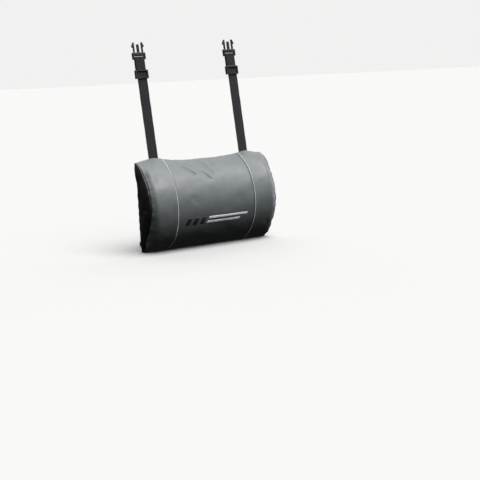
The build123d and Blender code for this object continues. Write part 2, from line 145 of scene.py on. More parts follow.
# Creases on the front, in millimetres. Each runs between two places, given by X and the distance
# from the top seam, and has a depth, a half width at each end and a bow to one side.
CREASES = [
    ((-86, 2), (-35, 77), 3.0, 6.0, 2.4, -3.4),
    ((-66, 2), (-37, 56), 1.6, 5.0, 3.4, -2.0),
    ((-34, 40), (-1, 91), 2.3, 4.0, 2.3, -1.6),
    ((-25, 6), (10, 82), 2.1, 4.6, 2.8, 1.6),
    ((16, 2), (12, 50), 1.3, 5.0, 3.4, 0),
    ((38, 6), (34, 30), 0.35, 3.0, 2.6, 1),
    ((-76, 118), (-50, 147), 0.45, 5.5, 4.5, 3),
    ((-79, 144), (-48, 122), 0.35, 5.5, 5.0, 2),
    ((-140, 8), (-152, 46), 0.7, 5.0, 3.5, 2),
    ((112, 117), (148, 99), 0.22, 4.0, 4.0, 2),
    ((118, 14), (138, 46), 0.45, 4.5, 3.5, 2),
    ((-118, 96), (-146, 124), 0.2, 5.0, 4.0, -2),
    ((130, 200), (156, 232), 0.6, 5.0, 4.0, 3),
    ((-156, 208), (-122, 236), 0.5, 5.0, 4.0, -3),
    ((40, 244), (62, 214), 0.45, 5.0, 4.0, 3),
]

# ------------------------------------------------------------------ stitching
STITCH_PITCH = 4.3 * MM
SEAM_STITCH = {"pitch": STITCH_PITCH, "length": 3.8 * MM, "radius": 0.95 * MM}
HEM_STITCH = {"pitch": 3.4 * MM, "length": 2.8 * MM, "radius": 0.34 * MM}
HEM_ROW_INSET = 3.2 * MM
BOX_HALF_W = 9.5 * MM  # crossed boxes of stitching hold the straps' sewn ends
UPPER_BOX_Z = (76 * MM, 96 * MM)
LOWER_BOX_Z = (-97 * MM, -79 * MM)
OVERLAP_BOX_Y = (21.5 * MM, 33 * MM)

# ------------------------------------------------------------------ straps, as in the CAD source
STRAP_T = 1.4 * MM
STRAP_STEP = 1.3 * MM  # distance between the points of a strap's line
STRAP_UP = Vector(next(j for j in frame["joints"] if j["name"] == "left_buckle_slide")["axis"])
STRAP_BACK = Vector((0, STRAP_UP.z, -STRAP_UP.y))
STRAP_ROOT = Vector((0, 1.0, 108.0)) * MM
TAIL_Y = -2.6 * MM
TAIL_TURN_Z = 101 * MM
STRAP_LIP_Z = 101.5 * MM  # the back panels bulge here over the straps that come out of them
UPPER_TAIL_END_Z = 70 * MM
LOWER_TAIL_END_Z = -75 * MM
LOWER_EXIT_Y = 6 * MM
BUCKLE_ALONG = 252 * MM
ADJUSTER_ALONG = 212 * MM
BUCKLE_WRAP_R = 3.05 * MM
ADJUSTER_WRAP_R = 2.2 * MM
FREE_TIP = 7 * MM
LOWER_BAR_Y = 50 * MM
OVERLAP_L = 30 * MM
LOWER_BAR_Z = centre_of("right_female_buckle", 2)
SIDES = (("left", -1), ("right", 1))

# ------------------------------------------------------------------ studio; angles in degrees
LENS = 70.13
VIEW = {
    "azimuth": -28.61, "elevation": 10.20, "distance": 2.4066, "aim": (0.1021, 0, -0.1147),
    "roll": 2.807,
}
SUNS = (  # name, azimuth, elevation, strength, spread
    ("key", 20, 62, 4.5, 50),
    ("side", 100, 12, 1.8, 60),
    ("rear", 170, 38, 1.3, 70),
)
FLOOR_HALF = 60.0
FLOOR_COLOUR = (0.52, 0.52, 0.515)
BACKDROP_COLOUR = (0.88, 0.88, 0.875)
ROOM_LIGHT = 0.22
ROOM_DARK = (0.12, 0.12, 0.12, 1)  # the room's own light is dim below and bright overhead
ROOM_BRIGHT = (1.0, 1.0, 1.0, 1)


# ------------------------------------------------------------------ camera, light and stage
def look_from(azimuth, elevation, distance, aim, roll=0.0):
    """Matrix of a camera or light that looks at aim from a direction round the object."""
    turn, rise, tilt = radians(azimuth), radians(elevation), radians(roll)
    back = Vector((sin(turn) * cos(rise), -cos(turn) * cos(rise), sin(rise)))
    right = Vector((cos(turn), sin(turn), 0))
    up = back.cross(right)
    across = right * cos(tilt) - up * sin(tilt)
    upright = right * sin(tilt) + up * cos(tilt)
    matrix = Matrix((across, upright, back)).transposed().to_4x4()
    matrix.translation = Vector(aim) + back * distance
    return matrix


def add_camera():
    camera = bpy.data.objects.new("camera", bpy.data.cameras.new("camera"))
    bpy.context.scene.collection.objects.link(camera)
    camera.data.sensor_width = 36
    camera.data.lens = LENS
    camera.data.clip_start = 0.05
    camera.data.clip_end = 60
    camera.matrix_world = look_from(**VIEW)
    bpy.context.scene.camera = camera


def add_sun(name, azimuth, elevation, strength, spread):
    """Distant studio light whose softness is the angle that it fills."""
    light = bpy.data.lights.new(name, "SUN")
    light.energy = strength
    light.angle = radians(spread)
    holder = bpy.data.objects.new(name, light)
    bpy.context.scene.collection.objects.link(holder)
    holder.matrix_world = look_from(azimuth, elevation, 3.0, (0, 0, 0))


def add_floor():
    mesh = bpy.data.meshes.new("floor")
    low, high = -FLOOR_HALF, FLOOR_HALF
    corners = [(low, low), (high, low), (high, high), (low, high)]
    mesh.from_pydata([(x, y, FLOOR_Z) for x, y in corners], [], [(0, 1, 2, 3)])
    floor = bpy.data.objects.new("floor", mesh)
    bpy.context.scene.collection.objects.link(floor)
    mesh.materials.append(Shader("floor", FLOOR_COLOUR, 1.0, specular=0.0).material)
    floor.visible_diffuse = False
    floor.visible_glossy = False


def add_room():
    """Pale backdrop for the camera, and for the object a room that is brighter overhead."""
    world = bpy.data.worlds.new("studio")
    bpy.context.scene.world = world
    world.use_nodes = True
    nodes, link = world.node_tree.nodes, world.node_tree.links.new
    room = nodes["Background"]
    room.inputs["Strength"].default_value = ROOM_LIGHT
    direction = nodes.new("ShaderNodeTexCoord")
    height = nodes.new("ShaderNodeSeparateXYZ")
    shade = nodes.new("ShaderNodeValToRGB")
    low, high = shade.color_ramp.elements
    low.position, low.color = 0.0, ROOM_DARK
    high.position, high.color = 0.9, ROOM_BRIGHT
    link(direction.outputs["Generated"], height.inputs[0])
    link(height.outputs["Z"], shade.inputs[0])
    link(shade.outputs[0], room.inputs["Color"])
    backdrop = nodes.new("ShaderNodeBackground")
    backdrop.inputs["Color"].default_value = (*BACKDROP_COLOUR, 1)
    seen = nodes.new("ShaderNodeLightPath")
    either = nodes.new("ShaderNodeMixShader")
    link(seen.outputs["Is Camera Ray"], either.inputs[0])
    link(room.outputs[0], either.inputs[1])
    link(backdrop.outputs[0], either.inputs[2])
    link(either.outputs[0], nodes["World Output"].inputs["Surface"])


def add_stage():
    add_floor()
    add_room()
    for sun in SUNS:
        add_sun(*sun)
    bpy.context.scene.view_settings.view_transform = "Standard"


# ------------------------------------------------------------------ materials
class Shader:
    """One node material, with its Principled shader and short calls to add and join nodes."""

    def __init__(self, name, colour, roughness, metallic=0.0, specular=0.5):
        self.material = bpy.data.materials.new(name)
        self.material.use_nodes = True
        self.tree = self.material.node_tree
        self.surface = self.tree.nodes["Principled BSDF"]
        self.set("Base Color", (*colour, 1))
        self.set("Roughness", roughness)
        self.set("Metallic", metallic)
        self.set("Specular IOR Level", specular)

    def set(self, socket, value):
        """Gives a socket of the Principled shader a plain value or the output of a node."""
        self.join(self.surface.inputs[socket], value)

    def join(self, socket, value):
        if isinstance(value, bpy.types.NodeSocket):
            self.tree.links.new(value, socket)
        else:
            socket.default_value = value

    def node(self, kind, output, inputs, **settings):
        made = self.tree.nodes.new("ShaderNode" + kind)
        for name, value in settings.items():
            setattr(made, name, value)
        for name, value in inputs.items():
            self.join(made.inputs[name], value)
        return made.outputs[output]

    def place(self):
        return self.node("TexCoord", "Object", {})

    def noise(self, scale, detail=3.0, roughness=0.5):
        inputs = {"Vector": self.place(), "Scale": scale, "Detail": detail, "Roughness": roughness}
        return self.node("TexNoise", "Fac", inputs)

    def attribute(self, name, output):
        return self.node("Attribute", output, {}, attribute_name=name)

    def math(self, operation, first, second=0.0):
        return self.node("Math", 0, {0: first, 1: second}, operation=operation)

    def ribs(self, value, pitch):
        """Rounded ridges, one to each pitch along a coordinate."""
        turn = self.math("MULTIPLY", value, pi / pitch)
        return self.math("ABSOLUTE", self.math("SINE", turn))

    def spread(self, value, low, high, from_low=0.3, from_high=0.7):
        """Maps a texture's usual range to the range between low and high."""
        usual = {"Value": value, "From Min": from_low, "From Max": from_high}
        return self.node("MapRange", "Result", {**usual, "To Min": low, "To Max": high})

    def tint(self, factor, first, second):
        """Colour that runs from first to second as factor goes from 0 to 1."""
        inputs = {"Factor": factor, 6: first, 7: second}
        return self.node("Mix", 2, inputs, data_type="RGBA")

    def mottled(self, texture, colour, low, high):
        """Colour that a texture varies between two strengths."""
        return self.tint(self.spread(texture, 0, 1), rgba(colour, low), rgba(colour, high))

    def bump(self, height, distance, strength=1.0, under=None):
        inputs = {"Height": height, "Distance": distance, "Strength": strength}
        if under is not None:
            inputs["Normal"] = under
        return self.node("Bump", 0, inputs)


def rgba(colour, factor=1.0):
    return (*(channel * factor for channel in colour), 1)


def leather(name, colour, roughness, specular):
    """Coated synthetic leather: pebbled grain with painted shade in its valleys, faint mottling, and
    paler wear along its seams.
    """
    shader = Shader(name, colour, roughness, specular=specular)
    pebbles = shader.node(
        "TexVoronoi", "Distance", {"Vector": shader.place(), "Scale": 820.0, "Randomness": 0.9},
        feature="DISTANCE_TO_EDGE",
    )
    pebbles = shader.node("MapRange", "Result", {"Value": pebbles, "From Max": 0.22, "To Max": 1.0})
    fine = shader.noise(520.0, 4.0, 0.6)
    broad = shader.noise(9.0, 3.0)
    cloudy = shader.noise(70.0, 4.0, 0.6)
    mottled = shader.mottled(broad, colour, 0.94, 1.07)
    # painted shade: the colour darkens into the valleys between the pebbles, where the bump is lowest;
    # the mottling is random tone
    tone_and_valley_shade = shader.tint(shader.math("MULTIPLY", pebbles, 0.5), rgba(colour, 0.78), mottled)
    wear = shader.math("MULTIPLY", shader.attribute("edge", "Fac"), shader.spread(cloudy, 0.0, 0.75))
    shader.set("Base Color", shader.tint(wear, tone_and_valley_shade, rgba(colour, 1.35)))
    shader.set("Roughness", shader.spread(cloudy, roughness - 0.05, roughness + 0.06))
    relief = shader.bump(pebbles, 0.10 * MM, 0.35)
    relief = shader.bump(fine, 0.12 * MM, 0.35, under=relief)
    shader.set("Normal", relief)
    return shader.material


def thread(name, colour):
    """Twisted thread: fine fibres and small changes of tone."""
    shader = Shader(name, colour, 0.55, specular=0.35)
    fibres = shader.noise(2600.0, 2.0)
    tone = shader.noise(260.0, 2.0)
    shader.set("Base Color", shader.mottled(tone, colour, 0.82, 1.06))
    shader.set("Normal", shader.bump(fibres, 0.08 * MM, 0.6))
    shader.set("Sheen Weight", 0.25)
    shader.set("Sheen Roughness", 0.4)
    return shader.material


def satin(name, colour, roughness, sheen):
    """Satin stitch: close parallel threads with a gloss, and painted shade in the grooves between them.
    """
    shader = Shader(name, colour, roughness, specular=0.6)
    lay = shader.attribute("weave", "Vector")
    upward = shader.node("SeparateXYZ", "Y", {"Vector": lay})
    ribs = shader.ribs(upward, 0.45 * MM)
    tone = shader.noise(420.0, 2.0)
    # painted shade: the colour darkens into the grooves between the thread rows, where the bump is lowest
    threads_with_painted_shade = shader.tint(ribs, rgba(colour, 0.8), rgba(colour, 1.0))
    shader.set("Base Color", shader.tint(shader.spread(tone, 0, 0.25), threads_with_painted_shade, rgba(colour, 0.8)))
    shader.set("Normal", shader.bump(ribs, 0.10 * MM, 0.6))
    shader.set("Sheen Weight", sheen)
    return shader.material


def webbing(name, colour, warp, weft):
    """Woven tape: warp ribs along it, crossed by weft that steps from rib to rib, with painted shade in
    the weave's hollows.
    """
    shader = Shader(name, colour, 0.75, specular=0.3)
    lay = shader.attribute("weave", "Vector")
    across = shader.node("SeparateXYZ", "X", {"Vector": lay})
    along = shader.node("SeparateXYZ", "Y", {"Vector": lay})
    rib = shader.math("MULTIPLY", across, 1 / warp)
    step = shader.math("MULTIPLY", shader.math("PINGPONG", shader.math("FLOOR", rib), 4.0), 0.25)
    pick = shader.math("ADD", shader.math("MULTIPLY", along, 1 / weft), step)
    pick_height = shader.math("ADD", shader.ribs(pick, 1), 0.35)
    height = shader.math("MULTIPLY", shader.ribs(rib, 1), pick_height)
    fuzz = shader.noise(1900.0, 3.0, 0.7)
    broad = shader.noise(30.0, 2.0)
    # painted shade: the colour darkens into the hollows of the weave, where the bump is lowest; the broad
    # noise and the fuzz add random tone
    shade = shader.math("MULTIPLY", height, shader.spread(broad, 0.75, 1.1))
    shade = shader.math("ADD", shade, shader.math("MULTIPLY", fuzz, 0.3))
    shade = shader.math("MINIMUM", shade, 1.4)
    shader.set("Base Color", shader.tint(shade, rgba(colour, 0.35), rgba(colour, 1.25)))
    relief = shader.bump(height, 0.35 * MM, 0.8)
    shader.set("Normal", shader.bump(fuzz, 0.15 * MM, 0.5, under=relief))
    shader.set("Roughness", shader.spread(fuzz, 0.67, 0.85))
    shader.set("Sheen Weight", 0.18)
    shader.set("Sheen Roughness", 0.5)
    return shader.material


def moulded_plastic(name, colour):
    """Nylon with a fine spark-eroded texture, faint flow clouding and rubbed high spots."""
    shader = Shader(name, colour, 0.42, specular=0.5)
    grain = shader.noise(3200.0, 2.0)
    flow = shader.noise(55.0, 3.0)
    scuff = shader.noise(240.0, 5.0, 0.7)
    rubbed = shader.spread(scuff, 0.0, 0.35, 0.55, 0.8)
    base = shader.mottled(flow, colour, 0.85, 1.25)
    shader.set("Base Color", shader.tint(rubbed, base, rgba(colour, 2.6)))
    shader.set("Roughness", shader.spread(flow, 0.36, 0.5))
    shader.set("Normal", shader.bump(grain, 0.05 * MM, 0.5))
    return shader.material


def enamelled_metal(name, colour):
    """Die-cast zinc under black enamel, with small pits."""
    shader = Shader(name, colour, 0.3, metallic=0.25, specular=0.6)
    pits = shader.noise(1400.0, 4.0, 0.7)
    cloud = shader.noise(180.0, 3.0)
    shader.set("Base Color", shader.mottled(cloud, colour, 0.8, 1.5))
    shader.set("Roughness", shader.spread(cloud, 0.24, 0.4))
    shader.set("Normal", shader.bump(pits, 0.04 * MM, 0.5))
    return shader.material


def nylon_coil(name, colour):
    """Drawn nylon wire, slightly uneven in gloss and tone."""
    shader = Shader(name, colour, 0.35, specular=0.5)
    drawn = shader.noise(900.0, 3.0)
    shader.set("Base Color", shader.mottled(drawn, colour, 0.8, 1.4))
    shader.set("Roughness", shader.spread(drawn, 0.28, 0.42))
    shader.set("Normal", shader.bump(drawn, 0.05 * MM, 0.4))
    return shader.material


def open_foam(name, colour):
    """Open-cell polyurethane foam, with painted shade in the pits of its cells."""
    shader = Shader(name, colour, 0.9, specular=0.2)
    cells = shader.node("TexVoronoi", "Distance", {"Vector": shader.place(), "Scale": 900.0})
    tone = shader.noise(25.0, 3.0)
    # painted shade: the colour darkens into the pits of the cells, where the bump is lowest
    painted_pit_shade = shader.tint(shader.spread(cells, 0, 1, 0.0, 0.6), rgba(colour, 0.55), rgba(colour, 1.0))
    shader.set("Base Color", shader.tint(shader.spread(tone, 0, 0.3), painted_pit_shade, rgba(colour, 0.9)))
    shader.set("Normal", shader.bump(cells, 0.6 * MM, 0.8))
    return shader.material


def felted_liner(name, colour):
    """Spun-bonded cloth with a grid of small weld points."""
    shader = Shader(name, colour, 0.85, specular=0.2)
    fibres = shader.noise(700.0, 6.0, 0.7)
    grid = {"Vector": shader.place(), "Scale": 420.0, "Randomness": 0.0}
    welds = shader.node("TexVoronoi", "Distance", grid)
    shader.set("Base Color", shader.tint(fibres, rgba(colour, 0.8), rgba(colour, 1.05)))
    relief = shader.bump(welds, 0.3 * MM, 0.5)
    shader.set("Normal", shader.bump(fibres, 0.2 * MM, 0.6, under=relief))
    return shader.material


MATERIALS = {
    "leather_grey": leather("leather_grey", (0.140, 0.158, 0.160), 0.57, 1.0),
    "leather_black": leather("leather_black", (0.014, 0.014, 0.015), 0.5, 0.5),
    "thread_white": thread("thread_white", (0.91, 0.92, 0.94)),
    "thread_black": thread("thread_black", (0.022, 0.022, 0.024)),
    "embroidery_black": satin("embroidery_black", (0.008, 0.008, 0.010), 0.45, 0.1),
    "embroidery_silver": satin("embroidery_silver", (0.93, 0.94, 0.98), 0.35, 0.5),
    "foam": open_foam("foam", (0.85, 0.80, 0.62)),
    "liner": felted_liner("liner", (0.04, 0.04, 0.042)),
    "zip_tape": webbing("zip_tape", (0.018, 0.018, 0.020), 0.5 * MM, 0.8 * MM),
    "zip_coil": nylon_coil("zip_coil", (0.02, 0.02, 0.022)),
    "zip_metal": enamelled_metal("zip_metal", (0.03, 0.03, 0.032)),
    "webbing": webbing("webbing", (0.0125, 0.0115, 0.0145), 1.15 * MM, 1.7 * MM),
    "buckle_plastic": moulded_plastic("buckle_plastic", (0.018, 0.018, 0.019)),
}


# ------------------------------------------------------------------ mesh tools
def make_piece(name, points, faces, slot, body="root", replaces=(), attributes=None, finish=None):
    """Smooth closed mesh that rides on a body and takes its finish from a material slot."""
    mesh = bpy.data.meshes.new(name)
    mesh.from_pydata(np.asarray(points).reshape(-1, 3).tolist(), [], faces)
    outward = bmesh.new()
    outward.from_mesh(mesh)
    bmesh.ops.recalc_face_normals(outward, faces=outward.faces)
    outward.to_mesh(mesh)
    outward.free()
    mesh.polygons.foreach_set("use_smooth", [True] * len(mesh.polygons))
    for key, values in (attributes or {}).items():
        values = np.asarray(values, np.float32)
        if values.ndim == 1:
            mesh.attributes.new(key, "FLOAT", "POINT").data.foreach_set("value", values)
        else:
            mesh.attributes.new(key, "FLOAT_VECTOR", "POINT").data.foreach_set("vector", values.ravel())
    mesh.materials.append(MATERIALS[finish or slot])
    piece = bpy.data.objects.new(name, mesh)
    bpy.context.scene.collection.objects.link(piece)
    if body:
        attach(piece, body)
    if replaces:
        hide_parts(*replaces)
    return piece


def unit(vectors):
    return vectors / np.maximum(np.linalg.norm(vectors, axis=-1, keepdims=True), 1e-12)


def distance_along(points):
    """Distance of each point of a line from its start."""
    return np.concatenate([[0], np.cumsum(np.linalg.norm(np.diff(points, axis=0), axis=1))])


def read_along(values, along, at):
    """Rows of values, given at distances along a line, read at other distances."""
    return np.stack([np.interp(at, along, column) for column in values.T], axis=1)


def join(parts):
    """One set of points and faces from several."""
    points, faces, first = [], [], 0
    for part_points, part_faces in parts:
        faces += [tuple(first + index for index in face) for face in part_faces]
        points.append(part_points)
        first += len(part_points)
    return np.concatenate(points), faces


def grid_faces(rows, columns, first=0, wrap=False):
    """Quads over a grid of points numbered row by row, closed round the columns if wrapped."""
    faces = []
    for row in range(rows - 1):
        for column in range(columns if wrap else columns - 1):
            after = (column + 1) % columns
            a, b = first + row * columns + column, first + row * columns + after
            faces.append((a, b, b + columns, a + columns))
    return faces


def grid_normals(grid, wrap=False):
    """Unit normals of a grid: the direction along its columns crossed with that along its rows."""
    if wrap:
        along_row = (np.roll(grid, -1, axis=1) - np.roll(grid, 1, axis=1)) / 2
    else:
        along_row = np.gradient(grid, axis=1)
    return unit(np.cross(along_row, np.gradient(grid, axis=0)))


def border(rows, columns):
    """Indices round the edge of a grid."""
    top = [column for column in range(columns)]
    right = [row * columns + columns - 1 for row in range(1, rows)]
    bottom = [(rows - 1) * columns + column for column in range(columns - 2, -1, -1)]
    left = [row * columns for row in range(rows - 2, 0, -1)]
    return top + right + bottom + left


def shell(grid, normals, thickness):
    """Closed sheet between a grid and the same grid moved inwards: its points and faces."""
    rows, columns = grid.shape[:2]
    count = rows * columns
    points = np.concatenate([grid.reshape(-1, 3), (grid - normals * thickness).reshape(-1, 3)])
    faces = grid_faces(rows, columns) + grid_faces(rows, columns, first=count)
    rim = border(rows, columns)
    for here, after in zip(rim, rim[1:] + rim[:1]):
        faces.append((after, here, here + count, after + count))
    return points, faces


def tube_faces(rings, sides):
    """Faces of a tube of rings, with a cap at each end."""
    faces = grid_faces(rings, sides, wrap=True)
    faces.append(tuple(range(sides)))
    faces.append(tuple(range((rings - 1) * sides, rings * sides)))
    return faces


def bell(distance, width):
    """1 at no distance, falling smoothly to about a third at the width."""
    return np.exp(-((distance / width) ** 2))


def smoothstep(value):
    value = np.clip(value, 0, 1)
    return value * value * (3 - 2 * value)


def ripple(first, second, wavelength, seed, count=7):
    """Smooth random height over two coordinates, mostly between -1 and 1."""
    draw = np.random.default_rng(seed)
    total = 0.0
    for _ in range(count):
        angle, phase, stretch = draw.uniform(0, tau), draw.uniform(0, tau), draw.uniform(0.75, 1.5)
        number = tau / (wavelength * stretch)
        total = total + np.sin(number * (first * cos(angle) + second * sin(angle)) + phase)
    return total / sqrt(count)


def graded(low, high, step, fine=(0.4, 0.9, 1.5, 2.3, 3.3, 4.6)):
    """Positions from low to high, closer together near both ends."""
    fine = np.array(fine) * MM
    inner_low, inner_high = low + fine[-1], high - fine[-1]
    inner = np.linspace(inner_low, inner_high, ceil((inner_high - inner_low) / step) + 1)
    return np.concatenate([[low], low + fine[:-1], inner, high - fine[-2::-1], [high]])


def taps(at, count):
    """Four neighbouring indices and their weights for smooth reading between grid lines."""
    low = np.clip(np.floor(at).astype(int), 0, count - 2)
    t = at - low
    weights = (
        -t / 2 + t**2 - t**3 / 2,
        1 - 2.5 * t**2 + 1.5 * t**3,
        t / 2 + 2 * t**2 - 1.5 * t**3,
        -(t**2) / 2 + t**3 / 2,
    )
    return [(np.clip(low + k - 1, 0, count - 1), weight) for k, weight in enumerate(weights)]


def sample(grid, row, column):
    """Points of a grid at fractional rows and columns."""
    row, column = np.broadcast_arrays(row, column)
    total = 0.0
    for row_index, row_weight in taps(row, grid.shape[0]):
        for column_index, column_weight in taps(column, grid.shape[1]):
            total = total + (row_weight * column_weight)[..., None] * grid[row_index, column_index]
    return total


# ------------------------------------------------------------------ the cover's large shape
# Grid lines across the width, closer together where the front rolls down to the end seams.
INNER_STATIONS = np.linspace(-HALF_W + ROLL_W, HALF_W - ROLL_W, 57)
ROLL_STEPS = ROLL_W * np.linspace(0.12, 1.0, 9)
STATIONS = np.concatenate(
    [-HALF_W + ROLL_W - ROLL_STEPS[::-1], INNER_STATIONS, HALF_W - ROLL_W + ROLL_STEPS]
)
FRONT_CELLS = 56  # grid cells round the front, from the top back seam to the bottom one
BACK_CELLS = 40
LOOP = FRONT_CELLS + BACK_CELLS
RINGS = 12  # rings across each end panel, from its seam to its middle


def top_lift(x):
    """Height of the top seam above its straight line."""
    lift = sum(height * bell(x - centre, width) for centre, height, width in TOP_BUMPS)
    return lift - TOP_DIP * np.clip(1 - (x / TOP_DIP_HALF_W) ** 2, 0, 1)


def corner_fade(z, reach=EAR_REACH):
    """0 at the top and bottom corners of an end seam, rising to 1 away from them."""
    return smoothstep((SEAM_Z - np.abs(z)) / reach)


def end_fall(x):
    """How far the front has fallen towards an end seam at this distance across."""
    beyond = ROLL_CREST - (HALF_W - abs(x))
    level = ROLL_CREST - ROLL_W
    return ROLL_SLOPE / 2 * (hypot(beyond, ROLL_SOFTNESS) + beyond - hypot(level, ROLL_SOFTNESS) - level)


def section_points(x):
    """One loop round the cushion at this distance across: down the front, then up the back."""
    side = -1 if x < 0 else 1
    angle = np.linspace(FRONT_ANGLE, -FRONT_ANGLE, FRONT_CELLS + 1)
    into_roll = np.clip((abs(x) - (HALF_W - ROLL_W)) / ROLL_W, 0, 1)
    height = FRONT_R * np.sin(angle)
    sag = 1 + (LEFT_SAG * smoothstep((20 * MM - height) / LEFT_SAG_H) if side < 0 else 0)
    fall = max(0, end_fall(x)) * corner_fade(height, ROLL_REACH[side]) * sag
    radius = FRONT_R - fall - SIM_SHRINK * np.cos(angle) * (1 - into_roll)
    front_y = FRONT_Y - radius * np.cos(angle)
    front_z = radius * np.sin(angle)
    from_top = FRONT_R * (FRONT_ANGLE - angle)
    front_z = front_z + top_lift(x) * (1 - smoothstep(from_top / TOP_REACH))
    back_z = np.linspace(-SEAM_Z, SEAM_Z, BACK_CELLS + 1)[1:-1]
    back_z = back_z + top_lift(x) * smoothstep((back_z - SEAM_Z + TOP_REACH) / TOP_REACH)
    y = np.concatenate([front_y, np.full(BACK_CELLS - 1, SEAM_Y)])
    z = np.concatenate([front_z, back_z])
    fade = corner_fade(z)
    pull_in = SEAM_PULL_IN * smoothstep((abs(x) - HALF_W + 2 * ROLL_W) / (2 * ROLL_W))
    pull_in = pull_in * fade * (0.35 + 0.65 * np.clip(-y / DEPTH, 0, 1))
    wave = SEAM_WAVE * ripple(y, z, 19 * MM, 12 + side) * fade
    tip = EAR_TIPS[side] * bell(z - TOP_Z, EAR_TIP_REACH)
    return np.stack([x + side * (into_roll**2 * (tip + wave) - pull_in), y, z], axis=1)


def end_rings(side):
    """Loops that close one end, from just inside its seam to its middle."""
    rim = section_points(side * HALF_W)
    middle = np.array([rim[:, 0].mean(), -0.42 * DEPTH, 0.0])
    rings = []
    for ring in range(1, RINGS):
        share = 1 - (ring / RINGS) ** 0.9
        loop = middle + (rim - middle) * share
        loop[:, 0] = rim[:, 0] * share + middle[0] * (1 - share) + side * END_BULGE * sqrt(1 - share**4)
        rings.append(loop)
    return rings, middle + np.array([side * END_BULGE, 0, 0])


def base_cover():
    """All loops of the cover from the left end's middle to the right end's, and the two middles."""
    left, left_middle = end_rings(-1)
    right, right_middle = end_rings(1)
    body = [section_points(x) for x in STATIONS]
    return np.array(left[::-1] + body + right), left_middle, right_middle


CLOTH = {
    "quality": 8,
    "mass": 0.4,
    "air_damping": 4,
    "tension_stiffness": 25,
    "compression_stiffness": 25,
    "shear_stiffness": 12,
    "bending_stiffness": 8,
    "vertex_group_mass": "held",
    "pin_stiffness": 1,
    "use_pressure": True,
    "uniform_pressure_force": 4,
    "shrink_min": -0.004,
}


def inflate(loops, middles):
    """Lets air pressure and cloth tension fill the sewn cover, which is held at its seams."""
    rows = len(loops)
    points = np.concatenate([loops.reshape(-1, 3), np.array(middles)])
    faces = grid_faces(rows, LOOP, wrap=True)
    last = (rows - 1) * LOOP
    for column in range(LOOP):
        after = (column + 1) % LOOP
        faces.append((after, column, len(points) - 2))
        faces.append((last + column, last + after, len(points) - 1))
    mesh = bpy.data.meshes.new("inflated")
    mesh.from_pydata(points.tolist(), [], faces)
    cover = bpy.data.objects.new("inflated", mesh)
    bpy.context.scene.collection.objects.link(cover)

    hold = np.zeros((rows, LOOP))
    hold[:, FRONT_CELLS:] = 1.0  # the back lies on the backrest
    hold[:, 0] = 1.0
    hold[[RINGS - 1, rows - RINGS], :] = 1.0  # the end seams
    group = cover.vertex_groups.new(name="held")
    for index in np.flatnonzero(hold.ravel()):
        group.add([int(index)], 1.0, "REPLACE")

    cloth = cover.modifiers.new("cloth", "CLOTH").settings
    for setting, value in CLOTH.items():
        setattr(cloth, setting, value)
    cloth.effector_weights.gravity = 0
    scene = bpy.context.scene
    for step in range(1, SIM_FRAMES + 1):
        scene.frame_set(step)
    settled = cover.evaluated_get(bpy.context.evaluated_depsgraph_get()).data
    result = np.zeros(len(points) * 3)
    settled.vertices.foreach_get("co", result)
    result = result.reshape(-1, 3)
    scene.frame_set(1)
    bpy.data.objects.remove(cover)
    moved = result - points
    length = np.linalg.norm(moved, axis=1, keepdims=True)
    moved *= np.minimum(1, SIM_CAP / np.maximum(length, 1e-9))
    swell = moved[:-2].reshape(loops.shape)
    free = (1 - hold)[..., None]
    for _ in range(SIM_SOFTENING):
        beside = np.roll(swell, 1, axis=1) + np.roll(swell, -1, axis=1)
        beside[1:-1] = (beside[1:-1] + swell[:-2] + swell[2:]) / 4
        beside[[0, -1]] = swell[[0, -1]]
        swell = swell + free * (beside - swell) / 2
    return loops + swell, points[-2:] + moved[-2:]


class Cover:
    """The filled cover as smooth point grids that can be read anywhere."""

    def __init__(self):
        loops, *middles = base_cover()
        loops, middles = inflate(loops, middles)
        self.loops = loops
        first, last = RINGS - 1, len(loops) - RINGS + 1
        body = loops[first:last]
        self.front = body[:, : FRONT_CELLS + 1]
        self.back = np.concatenate([body[:, FRONT_CELLS:], body[:, :1]], axis=1)
        closed = np.concatenate([loops, loops[:, :1]], axis=1)
        left = [*closed[first::-1], np.tile(middles[0], (LOOP + 1, 1))]
        right = [*closed[last - 1 :], np.tile(middles[1], (LOOP + 1, 1))]
        self.ends = {"left": np.array(left), "right": np.array(right)}

    def front_points(self, x, down):
        """Points at a distance across and a distance down the front from the top seam."""
        row = np.interp(x, STATIONS, np.arange(len(STATIONS)))
        return sample(self.front, row, np.asarray(down) / FRONT_ARC * FRONT_CELLS)

    def front_frame(self, x, down):
        """Points on the front as it is seen, with its normals."""
        step = 0.6 * MM
        here = self.front_points(x, down)
        across = self.front_points(x + step, down) - self.front_points(x - step, down)
        along = self.front_points(x, down + step) - self.front_points(x, down - step)
        normal = -unit(np.cross(unit(across), unit(along)))
        return settle(here + normal * front_relief(x, down)[..., None]), normal


# ------------------------------------------------------------------ the cover's fine shape
def crease(x, down, start, end, depth, first_w, last_w, bow):
    """Height of one soft crease: a narrow valley with a low ridge beside it, fading at its ends."""
    run = (end - start) / np.linalg.norm(end - start)
    ahead = ((x - start[0]) * run[0] + (down - start[1]) * run[1]) / np.linalg.norm(end - start)
    aside = (x - start[0]) * run[1] - (down - start[1]) * run[0]
    aside = aside - bow * 4 * ahead * (1 - ahead)
    width = first_w + (last_w - first_w) * np.clip(ahead, 0, 1)
    fade = smoothstep(ahead / 0.45) * smoothstep((1 - ahead) / 0.22)
    ridge = bell(aside - 2.3 * width, 1.9 * width)
    return depth * fade * (0.45 * ridge - bell(aside, width))


def seam_profile(distance, welt=0.5 * MM):
    """Height beside a sewn seam: up out of it, over its turned allowance, then level."""
    rise = smoothstep(distance / SEAM_RISE)
    return rise, welt * rise * bell(distance - 2.6 * MM, 1.6 * MM)


